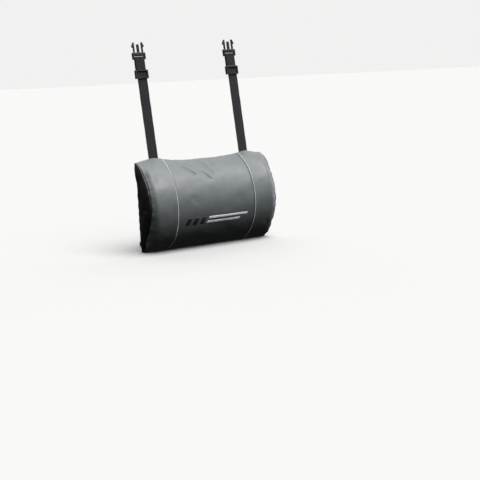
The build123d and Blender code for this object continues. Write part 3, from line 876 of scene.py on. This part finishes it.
def front_relief(x, down):
    """Height of the front over its grid: puffed up between seams, with creases and puckers."""
    height = PUFF + 0.30 * MM * ripple(x, down, 58 * MM, 3) + 0.10 * MM * ripple(x, down, 23 * MM, 4)
    for start, end, depth, first_w, last_w, bow in CREASES:
        ends = np.array(start) * MM, np.array(end) * MM
        height = height + crease(x, down, *ends, depth * MM, first_w * MM, last_w * MM, bow * MM)
    from_end = HALF_W - np.abs(x)
    from_back = np.minimum(down, FRONT_ARC - down)
    drawn = ripple(down * 1.2, x * 0.4, 15 * MM, 5) * np.exp(-from_end / (7 * MM))
    gathers = ripple(x, down * 0.4, 17 * MM, 6) * np.exp(-from_back / (8 * MM))
    height = height + 0.55 * MM * drawn + 0.45 * MM * gathers
    end_rise, end_welt = seam_profile(from_end)
    back_rise, back_welt = seam_profile(from_back)
    return (height * back_rise + back_welt) * end_rise + end_welt * back_rise


def seam_step(x):
    """Height across the stitched seams: the outer panel lies over the turned seam allowance."""
    outward = np.abs(x) - SEAM_X
    fade = 1 - smoothstep((outward - 8 * MM) / (5 * MM))
    allowance = 0.7 * MM * smoothstep(outward / (1.6 * MM)) * fade
    groove = -0.9 * MM * bell(outward, 0.9 * MM)
    under_thread = -0.25 * MM * bell(np.abs(x) - THREAD_X, 0.9 * MM)
    return allowance + groove + under_thread


def wear_near(distance, reach=6 * MM):
    return np.exp(-np.maximum(distance, 0) / reach)


def settle(points):
    """Lets the lowest part of the cover sag until it lies flat on the floor."""
    above = np.maximum(points[..., 2] - FLOOR_Z, 0)
    sunk = points.copy()
    sunk[..., 2] = np.maximum(points[..., 2] - REST_SAG * np.exp(-above / REST_SAG_H), FLOOR_Z + REST_GAP)
    return sunk


def add_panel(name, grid, height, edge, slot, replaces):
    """Leather panel from a grid of its outer face, with a height to add along its normals."""
    outer = settle(grid + grid_normals(grid) * height[..., None])
    points, faces = shell(outer, grid_normals(outer), COVER_T)
    points[edge.size :, 2] = np.maximum(points[edge.size :, 2], FLOOR_Z + REST_GAP + INSIDE_GAP)
    wear = np.concatenate([edge.ravel(), np.zeros(edge.size)])
    piece = make_piece(name, points, faces, slot, replaces=replaces, attributes={"edge": wear})


def add_front_panels(cover):
    spans = {
        "left": (-HALF_W, -SEAM_X),
        "centre": (-SEAM_X, SEAM_X),
        "right": (SEAM_X, HALF_W),
    }
    down = graded(0, FRONT_ARC, STITCH_PITCH / 2)
    for name, (low, high) in spans.items():
        x = graded(low, high, 2.3 * MM)
        wide, tall = x[:, None], down[None, :]
        from_end = np.minimum(HALF_W - np.abs(wide), np.minimum(tall, FRONT_ARC - tall))
        into_back_seam = smoothstep(np.minimum(tall, FRONT_ARC - tall) / SEAM_RISE)
        height = front_relief(wide, tall) + seam_step(wide) * into_back_seam
        edge = 0.8 * wear_near(from_end, 4 * MM) + 0.3 * wear_near(np.abs(np.abs(wide) - SEAM_X), 2 * MM)
        grid = cover.front_points(wide, tall)
        add_panel(f"cover_front_{name}", grid, height, edge, "leather_grey", [f"front_{name}_panel"])


def add_back_panels(cover):
    """Flat back in two parts, whose hems leave the zip open between them."""
    x = graded(-HALF_W, HALF_W, 3.0 * MM)
    spans = {"lower": (-SEAM_Z, WINDOW_BOTTOM), "upper": (WINDOW_TOP, SEAM_Z)}
    for name, (low, high) in spans.items():
        z = graded(low, high, 2.6 * MM)
        wide, tall = x[:, None], z[None, :]
        row = np.interp(wide, STATIONS, np.arange(len(STATIONS)))
        grid = sample(cover.back, row, (tall + SEAM_Z) / (2 * SEAM_Z) * BACK_CELLS)
        from_side = HALF_W - np.abs(wide)
        from_seam = np.minimum(from_side, SEAM_Z - np.abs(tall))
        from_hem = np.abs(tall - (WINDOW_BOTTOM if name == "lower" else WINDOW_TOP))
        soft = 0.4 * MM * (ripple(wide, tall, 48 * MM, 8) - 1.3)
        pucker = 0.4 * MM * ripple(wide, tall, 17 * MM, 9) * wear_near(from_seam, 9 * MM)
        height = np.minimum(-SEAM_Y + soft + pucker, -SEAM_Y)
        height = height - 0.3 * MM * bell(from_hem - HEM_ROW_INSET, 1.0 * MM)
        height = height - 0.5 * MM * np.clip(1 - from_hem / (1.6 * MM), 0, 1) ** 2
        over_strap = smoothstep((STRAP_W / 2 + 3 * MM - np.abs(np.abs(wide) - STRAP_X)) / (3 * MM))
        height = height + 1.3 * MM * over_strap * bell(np.abs(tall) - STRAP_LIP_Z, 3.2 * MM)
        height = height * smoothstep(from_seam / SEAM_RISE)
        edge = 0.5 * wear_near(np.minimum(from_seam, from_hem), 4 * MM)
        add_panel(f"cover_back_{name}", grid, height, edge, "leather_black", [f"back_panel_{name}"])


def add_end_panels(cover):
    for name, side in SIDES:
        rings = cover.ends[name]
        near_seam = [0, 0.06, 0.14, 0.24, 0.36, 0.5, 0.66]
        row = np.concatenate([near_seam, np.linspace(0.85, RINGS - 0.35, 27)])
        column = np.linspace(0, LOOP, 2 * LOOP + 1)
        grid = sample(rings, row[:, None], column[None, :])
        inward = np.linalg.norm(grid - grid[:1], axis=2)
        y, z = grid[..., 1], grid[..., 2]
        soft = 0.35 * MM * ripple(y, z, 40 * MM, 11 + side)
        pucker = 0.5 * MM * ripple(y, z, 13 * MM, 14 + side) * np.exp(-inward / (8 * MM))
        rise, welt = seam_profile(inward, 0.9 * MM)
        height = (0.7 * MM + soft + pucker) * rise + welt
        outer = settle(grid + side * grid_normals(grid) * height[..., None])[:, :-1]
        normals = side * grid_normals(outer, wrap=True)
        edge = 0.9 * wear_near(inward[:, :-1], 3 * MM)
        add_disc(f"cover_{name}_end", outer, normals, edge, "leather_black", [f"{name}_end_panel"])


def add_disc(name, rings, normals, edge, slot, replaces):
    """Leather panel from rings round a middle, thickened inwards."""
    rows, columns = rings.shape[:2]
    inner = rings - normals * COVER_T
    inner[..., 2] = np.maximum(inner[..., 2], FLOOR_Z + REST_GAP + INSIDE_GAP)
    middle = rings[-1].mean(axis=0)
    inner_middle = inner[-1].mean(axis=0)
    count = rows * columns
    points = np.concatenate([rings.reshape(-1, 3), inner.reshape(-1, 3), [middle, inner_middle]])
    faces = grid_faces(rows, columns, wrap=True)
    faces += grid_faces(rows, columns, first=count, wrap=True)
    last = (rows - 1) * columns
    for column in range(columns):
        after = (column + 1) % columns
        faces.append((last + column, last + after, 2 * count))
        faces.append((count + last + after, count + last + column, 2 * count + 1))
        faces.append((after, column, count + column, count + after))
    wear = np.concatenate([edge.ravel(), np.zeros(count + 2)])
    piece = make_piece(name, points, faces, slot, replaces=replaces, attributes={"edge": wear})


# ------------------------------------------------------------------ filling
# Depth of each layer under the cover's grid, and how far its back lies in front of the back plane.
LINER_LAYERS = ((3.0 * MM, 4.0 * MM), (3.8 * MM, 4.8 * MM))
FOAM_LAYER = (4.6 * MM, 5.6 * MM)


def add_filling(cover):
    """Foam core in its sewn liner, each a layer further inside the cover."""
    loops = cover.loops
    normals = grid_normals(loops, wrap=True)
    rows = len(loops)
    body = slice(RINGS - 1, rows - RINGS + 1)
    back = slice(FRONT_CELLS + 1, LOOP)

    def layer(depth, back_depth):
        moved = loops - normals * depth
        moved[body, back, 1] = -back_depth
        moved[body, :: FRONT_CELLS, 1] = -back_depth
        moved[:, :, 1] = np.minimum(moved[:, :, 1], -back_depth)
        return moved

    faces = tube_faces(rows, LOOP)
    points, liner_faces = join([(layer(*depths).reshape(-1, 3), faces) for depths in LINER_LAYERS])
    replaced = ["liner_sleeve", "liner_left_end", "liner_right_end"]
    liner = make_piece("liner", points, liner_faces, "liner", replaces=replaced)
    foam = make_piece("foam", layer(*FOAM_LAYER), faces, "foam", replaces=["foam_core"])


# ------------------------------------------------------------------ stitching and motif
def stitch_mesh(points, normals, pitch, length, radius, twist=2.2, rings=9, sides=8):
    """Arched two-ply stitches laid end to end along a line of points."""
    along = distance_along(points)
    count = int(along[-1] // pitch)
    faces = tube_faces(rings, sides)
    share = np.linspace(0, 1, rings)
    arch = np.sin(pi * share) ** 0.55
    size = radius * (0.62 + 0.38 * arch)
    stitches = []
    around = np.linspace(0, tau, sides, endpoint=False)
    for index in range(count):
        start = (along[-1] - count * pitch) / 2 + index * pitch + (pitch - length) / 2
        at = start + length * share
        line = read_along(points, along, at)
        up = unit(read_along(normals, along, at))
        aside = np.cross(unit(np.gradient(line, axis=0)), up)
        centre = line + up * ((1.7 * arch - 0.9) * radius)[:, None]
        circles = []
        for ring in range(rings):
            lobes = 0.86 + 0.14 * np.cos(2 * (around - twist * tau * share[ring] / 2))
            reach = (size[ring] * lobes)[:, None]
            circle = aside[ring] * np.cos(around)[:, None] + up[ring] * np.sin(around)[:, None]
            circles.append(centre[ring] + circle * reach)
        stitches.append((np.concatenate(circles), faces))
    return join(stitches)


def add_stitches(name, rows, slot, finish, replaces=(), **sizes):
    """One piece made of several rows of stitches, each a line of points with its normals."""
    points, faces = join([stitch_mesh(line, normals, **sizes) for line, normals in rows])
    make_piece(name, points, faces, slot, replaces=replaces, finish=finish)


def add_seam_threads(cover):
    top_gap, bottom_gap = 5 * MM, 11 * MM
    down = np.linspace(top_gap, FRONT_ARC - bottom_gap, 420)
    for name, side in SIDES:
        line, normals = cover.front_frame(np.full_like(down, side * THREAD_X), down)
        line = line + normals * seam_step(np.array([THREAD_X]))[0]
        add_stitches(
            f"{name}_topstitch", [(line, normals)], "thread_white", "thread_white",
            replaces=[f"{name}_seam_thread"], **SEAM_STITCH,
        )


def laid_on(piece, line, towards):
    """A line moved along a direction until it lies on a piece, with the piece's normals there."""
    mesh = bpy.data.objects[piece].data
    surface = BVHTree.FromPolygons(
        [corner.co for corner in mesh.vertices], [tuple(face.vertices) for face in mesh.polygons]
    )
    start = -0.03 * Vector(towards)
    hits = [surface.ray_cast(Vector(point) + start, Vector(towards)) for point in line]
    points = np.array([hit[0] for hit in hits])
    return points, np.tile(-np.array(towards, float), (len(points), 1))


def add_hem_threads():
    """Black rows of stitching along both hems beside the zip."""
    x = np.linspace(-HALF_W + 8 * MM, HALF_W - 8 * MM, 300)
    rows = []
    hems = (("lower", WINDOW_BOTTOM - HEM_ROW_INSET), ("upper", WINDOW_TOP + HEM_ROW_INSET))
    for name, z in hems:
        line = np.stack([x, 0 * x, np.full_like(x, z)], axis=1)
        rows.append(laid_on(f"cover_back_{name}", line, (0, -1, 0)))
    add_stitches("zip_hem_stitches", rows, "zip_tape", "thread_black", **HEM_STITCH)


def stitch_box(piece, corners, towards):
    """Rows of stitching round a box and across its diagonals, laid on a piece."""
    order = (0, 1, 2, 3, 0), (0, 2), (1, 3)
    rows = []
    for path in order:
        for first, last in zip(path, path[1:]):
            line = np.linspace(corners[first], corners[last], 40)
            rows.append(laid_on(piece, line, towards))
    return rows


def add_strap_stitches():
    """Crossed boxes of black stitching over the sewn ends of all four straps."""
    for name, side in SIDES:
        left, right = side * STRAP_X - BOX_HALF_W, side * STRAP_X + BOX_HALF_W
        rows = []
        for panel, (low, high) in (("cover_back_upper", UPPER_BOX_Z), ("cover_back_lower", LOWER_BOX_Z)):
            corners = np.array([(left, 0, low), (right, 0, low), (right, 0, high), (left, 0, high)])
            rows += stitch_box(panel, corners, (0, -1, 0))
        near, far = OVERLAP_BOX_Y
        corners = np.array([(left, near, LOWER_BAR_Z), (right, near, LOWER_BAR_Z),
                            (right, far, LOWER_BAR_Z), (left, far, LOWER_BAR_Z)])
        rows += stitch_box(f"{name}_lower_webbing", corners, (0, 0, -1))
        add_stitches(f"{name}_strap_stitches", rows, "webbing", "thread_black", **HEM_STITCH)


def motif_patch(cover, x_low, x_high, z_low, z_high, slant, base_z, height):
    """Pillowed patch of satin stitch on the front, with slanted ends: points, faces and lay."""
    across = np.linspace(0, 1, ceil((x_high - x_low) / (0.7 * MM)) + 1)[:, None]
    upward = np.linspace(0, 1, ceil((z_high - z_low) / (0.18 * MM)) + 1)[None, :]
    z = z_low + (z_high - z_low) * upward
    x = x_low + (x_high - x_low) * across + slant * (z - base_z) / height
    down = FRONT_R * (FRONT_ANGLE - np.arcsin(z / FRONT_R)) + 0 * x
    points, normals = cover.front_frame(x, down)
    from_ends = np.minimum(across, 1 - across) * (x_high - x_low)
    from_edges = np.minimum(upward, 1 - upward) * (z_high - z_low)
    inset = np.minimum(from_ends, from_edges)
    pillow = 0.9 * MM * np.sqrt(np.clip(inset / (1.4 * MM), 0, 1)) - 0.25 * MM
    threads = 0.13 * MM * np.cos(tau * z / (0.9 * MM)) * np.clip(inset / (0.4 * MM), 0, 1)
    outer = points + normals * (pillow + threads)[..., None]
    mesh_points, faces = shell(outer, normals, 0.5 * MM)
    lay = np.stack([x, z + 0 * x, 0 * x], axis=-1).reshape(-1, 3)
    return mesh_points, faces, np.concatenate([lay, lay])


def add_motif(cover):
    """Generic two-tone embroidery where the CAD has it: slanted bars and two long lines."""
    low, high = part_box("emblem_dark")
    light_low, light_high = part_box("emblem_light")
    height = high.z - low.z
    base_z = (low.z + high.z) / 2
    slant = 6 * MM
    bar_w, bar_pitch, bar_count = 12 * MM, 19 * MM, 3
    line_h = 6.2 * MM
    first_x = low.x + slant / 2
    bars = [
        (first_x + index * bar_pitch, first_x + index * bar_pitch + bar_w, low.z, high.z)
        for index in range(bar_count)
    ]
    light_x = light_low.x + slant / 2
    light_end = light_high.x - slant / 2
    lines = [
        (light_x, light_end, high.z - line_h, high.z),
        (light_x, light_end - height, low.z, low.z + line_h),
    ]
    tones = (("dark", bars, "embroidery_black"), ("light", lines, "embroidery_silver"))
    for tone, shapes, slot in tones:
        patches = [motif_patch(cover, *shape, slant, base_z, height) for shape in shapes]
        points, faces = join([patch[:2] for patch in patches])
        lay = np.concatenate([patch[2] for patch in patches])
        make_piece(
            f"embroidery_{tone}", points, faces, slot,
            replaces=[f"emblem_{tone}"], attributes={"weave": lay},
        )


# ------------------------------------------------------------------ zip
def coil_mesh(direction, wire_r=0.3 * MM, pitch=1.5 * MM, turn_points=12, sides=6):
    """One coil row of the zip: a flattened helix whose turns mesh with the other row's."""
    low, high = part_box("zip_coil_upper")
    outer_z = 3.0 * MM
    inner_z = -0.35 * MM
    half_w = (outer_z - inner_z) / 2 - wire_r
    centre_z = ZIP_Z + direction * (outer_z + inner_z) / 2
    centre_y = (low.y + high.y) / 2
    half_t = (high.y - low.y) / 2 - wire_r
    turns = int((high.x - low.x - pitch) / pitch)
    t = np.linspace(0, turns, turns * turn_points + 1)
    start_x = low.x + wire_r + (0.5 * pitch if direction > 0 else 0)
    spin = tau * t
    line = np.stack([
        start_x + pitch * t,
        centre_y + half_t * np.sin(spin),
        centre_z + direction * half_w * np.cos(spin),
    ], axis=1)
    ahead = unit(np.gradient(line, axis=0))
    side_way = unit(np.cross(ahead, [1.0, 0, 0]))
    up = np.cross(side_way, ahead)
    around = np.linspace(0, tau, sides, endpoint=False)[None, :, None]
    rings = line[:, None] + wire_r * (side_way[:, None] * np.cos(around) + up[:, None] * np.sin(around))
    return rings.reshape(-1, 3), tube_faces(len(line), sides)


def add_zip():
    for name, direction in (("upper", 1), ("lower", -1)):
        points, faces = coil_mesh(direction)
        make_piece(f"coil_{name}", points, faces, "zip_coil", replaces=[f"zip_coil_{name}"])

        low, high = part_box(f"zip_tape_{name}")
        x = np.linspace(low.x, high.x, 190)[:, None]
        z = np.linspace(low.z, high.z, 15)[None, :]
        rib = 0.06 * MM * np.cos(tau * z / (1.6 * MM))
        y = high.y - 0.1 * MM + rib + 0.04 * MM * ripple(x, z, 22 * MM, 21)
        grid = np.stack([x + 0 * z, y, z + 0 * x], axis=-1)
        normals = grid_normals(grid)
        tape_points, tape_faces = shell(grid, normals, 0.4 * MM)
        lay = np.stack([z + 0 * x, x + 0 * z, 0 * x + 0 * z], axis=-1).reshape(-1, 3)
        tape = make_piece(
            f"tape_{name}", tape_points, tape_faces, "zip_tape",
            replaces=[f"zip_tape_{name}"], attributes={"weave": np.concatenate([lay, lay])},
        )


# ------------------------------------------------------------------ straps
def bent_line(corners, radius):
    """Points along straight runs joined by round bends, in the YZ plane."""
    corners = [np.array(corner, float) for corner in corners]
    points = [corners[0]]
    for before, corner, after in zip(corners, corners[1:], corners[2:]):
        into, away = unit(corner - before), unit(after - corner)
        turn = acos(np.clip(into @ away, -1, 1))
        reach = radius * np.tan(turn / 2)
        count = max(4, ceil(radius * turn / STRAP_STEP))
        for share in np.linspace(0, 1, count):
            first, second = corner - into * reach, corner + away * reach
            points.append((1 - share) ** 2 * first + 2 * share * (1 - share) * corner + share**2 * second)
    points.append(corners[-1])
    return even_line(points)


def half_turn(start, end, bulge, count=14):
    """Points of a half circle from start to end that bulges towards a direction."""
    centre, arm = (start + end) / 2, (start - end) / 2
    reach = bulge / np.linalg.norm(bulge) * np.linalg.norm(arm)
    return np.array([centre + arm * cos(turn) + reach * sin(turn) for turn in np.linspace(0, pi, count)])


def even_line(points):
    """The same line with its points evenly spaced."""
    points = np.array(points)
    along = distance_along(points)
    at = np.linspace(0, along[-1], ceil(along[-1] / STRAP_STEP) + 1)
    return read_along(points, along, at)


def strap_mesh(line, centre_x, width, thickness, seed):
    """Webbing swept along a line in the YZ plane: points, faces and the weave's coordinates."""
    half_w, half_t = width / 2, thickness / 2
    flat = np.linspace(-half_w + half_t, half_w - half_t, 15)
    edge = np.linspace(-pi / 2, pi / 2, 5)[1:-1]
    level, rounded = np.full(15, half_t), half_t * np.sin(edge)
    past = half_w - half_t + half_t * np.cos(edge)
    across = np.concatenate([flat, past, flat[::-1], -past])
    height = np.concatenate([-level, rounded, level, -rounded])
    ahead = unit(np.gradient(line, axis=0))
    normal = np.stack([ahead[:, 1], -ahead[:, 0]], axis=1)
    along = distance_along(line)
    wander = 0.12 * MM * ripple(along, 0 * along, 34 * MM, seed)
    cup = 0.10 * MM * (across / half_w) ** 2
    points = np.zeros((len(line), len(across), 3))
    points[..., 0] = centre_x + across[None, :] + wander[:, None]
    offset = height[None, :] + cup[None, :]
    points[..., 1] = line[:, None, 0] + normal[:, None, 0] * offset
    points[..., 2] = line[:, None, 1] + normal[:, None, 1] * offset
    weave = np.zeros_like(points)
    weave[..., 0] = across[None, :]
    weave[..., 1] = along[:, None]
    return points, tube_faces(len(line), len(across)), weave.reshape(-1, 3), along[-1]


def add_strap(name, line, side, body, replaces, seed):
    points, faces, weave, length = strap_mesh(line, side * STRAP_X, STRAP_W, STRAP_T, seed)
    strap = make_piece(
        name, points, faces, "webbing", body=body, replaces=replaces, attributes={"weave": weave}
    )
    return strap


def on_strap(along, back=0.0):
    """(Y, Z) of a point along an upper strap and behind its front run."""
    point = STRAP_ROOT + STRAP_UP * along + STRAP_BACK * back
    return np.array([point.y, point.z])


def add_upper_straps():
    return_back = 2 * BUCKLE_WRAP_R
    eye_back = return_back - 2 * ADJUSTER_WRAP_R
    tip_along = ADJUSTER_ALONG + FREE_TIP
    up = np.array([STRAP_UP.y, STRAP_UP.z])
    meet_along = BUCKLE_ALONG - 6 * MM
    meet = on_strap(meet_along, return_back)
    tail = [(TAIL_Y, UPPER_TAIL_END_Z), (TAIL_Y, TAIL_TURN_Z)]
    rise = bent_line([*tail, on_strap(0), on_strap(BUCKLE_ALONG)], 8 * MM)
    over = half_turn(on_strap(BUCKLE_ALONG), on_strap(BUCKLE_ALONG, return_back), up)
    front = np.concatenate([rise[:-1], over, [meet]])
    back_run = even_line([meet, on_strap(ADJUSTER_ALONG, return_back)])
    under = half_turn(on_strap(ADJUSTER_ALONG, return_back), on_strap(ADJUSTER_ALONG, eye_back), -up)
    tip = even_line([on_strap(ADJUSTER_ALONG, eye_back), on_strap(tip_along, eye_back)])
    back = np.concatenate([back_run[:-1], under, tip[1:]])
    for name, side in SIDES:
        def beside(along, depth=0.0):
            return Vector((side * STRAP_X, *on_strap(along, depth)))

        run = add_strap(
            f"{name}_strap_front_run", front, side, None, [f"{name}_upper_strap"], 31
        )
        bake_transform(run)
        loop = add_strap(f"{name}_strap_return_run", back, side, None, [], 32)
        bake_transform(loop)


def add_lower_straps():
    low_z = LOWER_BAR_Z - BUCKLE_WRAP_R
    high_z = LOWER_BAR_Z + BUCKLE_WRAP_R
    sewn_z = low_z + STRAP_T + 0.1 * MM
    tail = [(TAIL_Y, LOWER_TAIL_END_Z), (TAIL_Y, -TAIL_TURN_Z)]
    run = bent_line([*tail, (LOWER_EXIT_Y, low_z), (LOWER_BAR_Y, low_z)], 8 * MM)
    over = half_turn(np.array([LOWER_BAR_Y, low_z]), np.array([LOWER_BAR_Y, high_z]), np.array([1.0, 0]))
    overlap = bent_line(
        [(LOWER_BAR_Y, high_z), (LOWER_BAR_Y - 5 * MM, high_z), (LOWER_BAR_Y - 16 * MM, sewn_z),
         (LOWER_BAR_Y - OVERLAP_L, sewn_z)],
        4 * MM,
    )
    line = np.concatenate([run[:-1], over, overlap[1:]])
    for name, side in SIDES:
        replaced, rests_on = [f"{name}_lower_strap"], [f"{name}_female_buckle"]
        add_strap(f"{name}_lower_webbing", line, side, "root", replaced, 33)


# ------------------------------------------------------------------ CAD parts that stay
def finish_cad(node, slot, bevel):
    """Gives a CAD part rounded edges and its procedural material."""
    part = frame["nodes"][node]
    weld = part.modifiers.new("weld", "WELD")
    weld.merge_threshold = 0.01 * MM
    rounding = part.modifiers.new("rounding", "BEVEL")
    rounding.width = bevel
    rounding.segments = 3
    rounding.limit_method = "ANGLE"
    rounding.angle_limit = radians(35)
    rounding.harden_normals = False
    part.data.materials.clear()
    part.data.materials.append(MATERIALS[slot])


def finish_cad_parts():
    for name, _ in SIDES:
        for part, bevel in (("male_buckle", 0.55), ("female_buckle", 0.55), ("adjuster", 0.5)):
            finish_cad(f"{name}_{part}", "buckle_plastic", bevel * MM)
    for part, bevel in (("slider", 0.22), ("pull", 0.25), ("stops", 0.25)):
        finish_cad(f"zip_{part}", "zip_metal", bevel * MM)


add_camera()
add_stage()
cover = Cover()
add_front_panels(cover)
add_back_panels(cover)
add_end_panels(cover)
add_filling(cover)
add_seam_threads(cover)
add_hem_threads()
add_motif(cover)
add_zip()
add_upper_straps()
add_lower_straps()
add_strap_stitches()
finish_cad_parts()
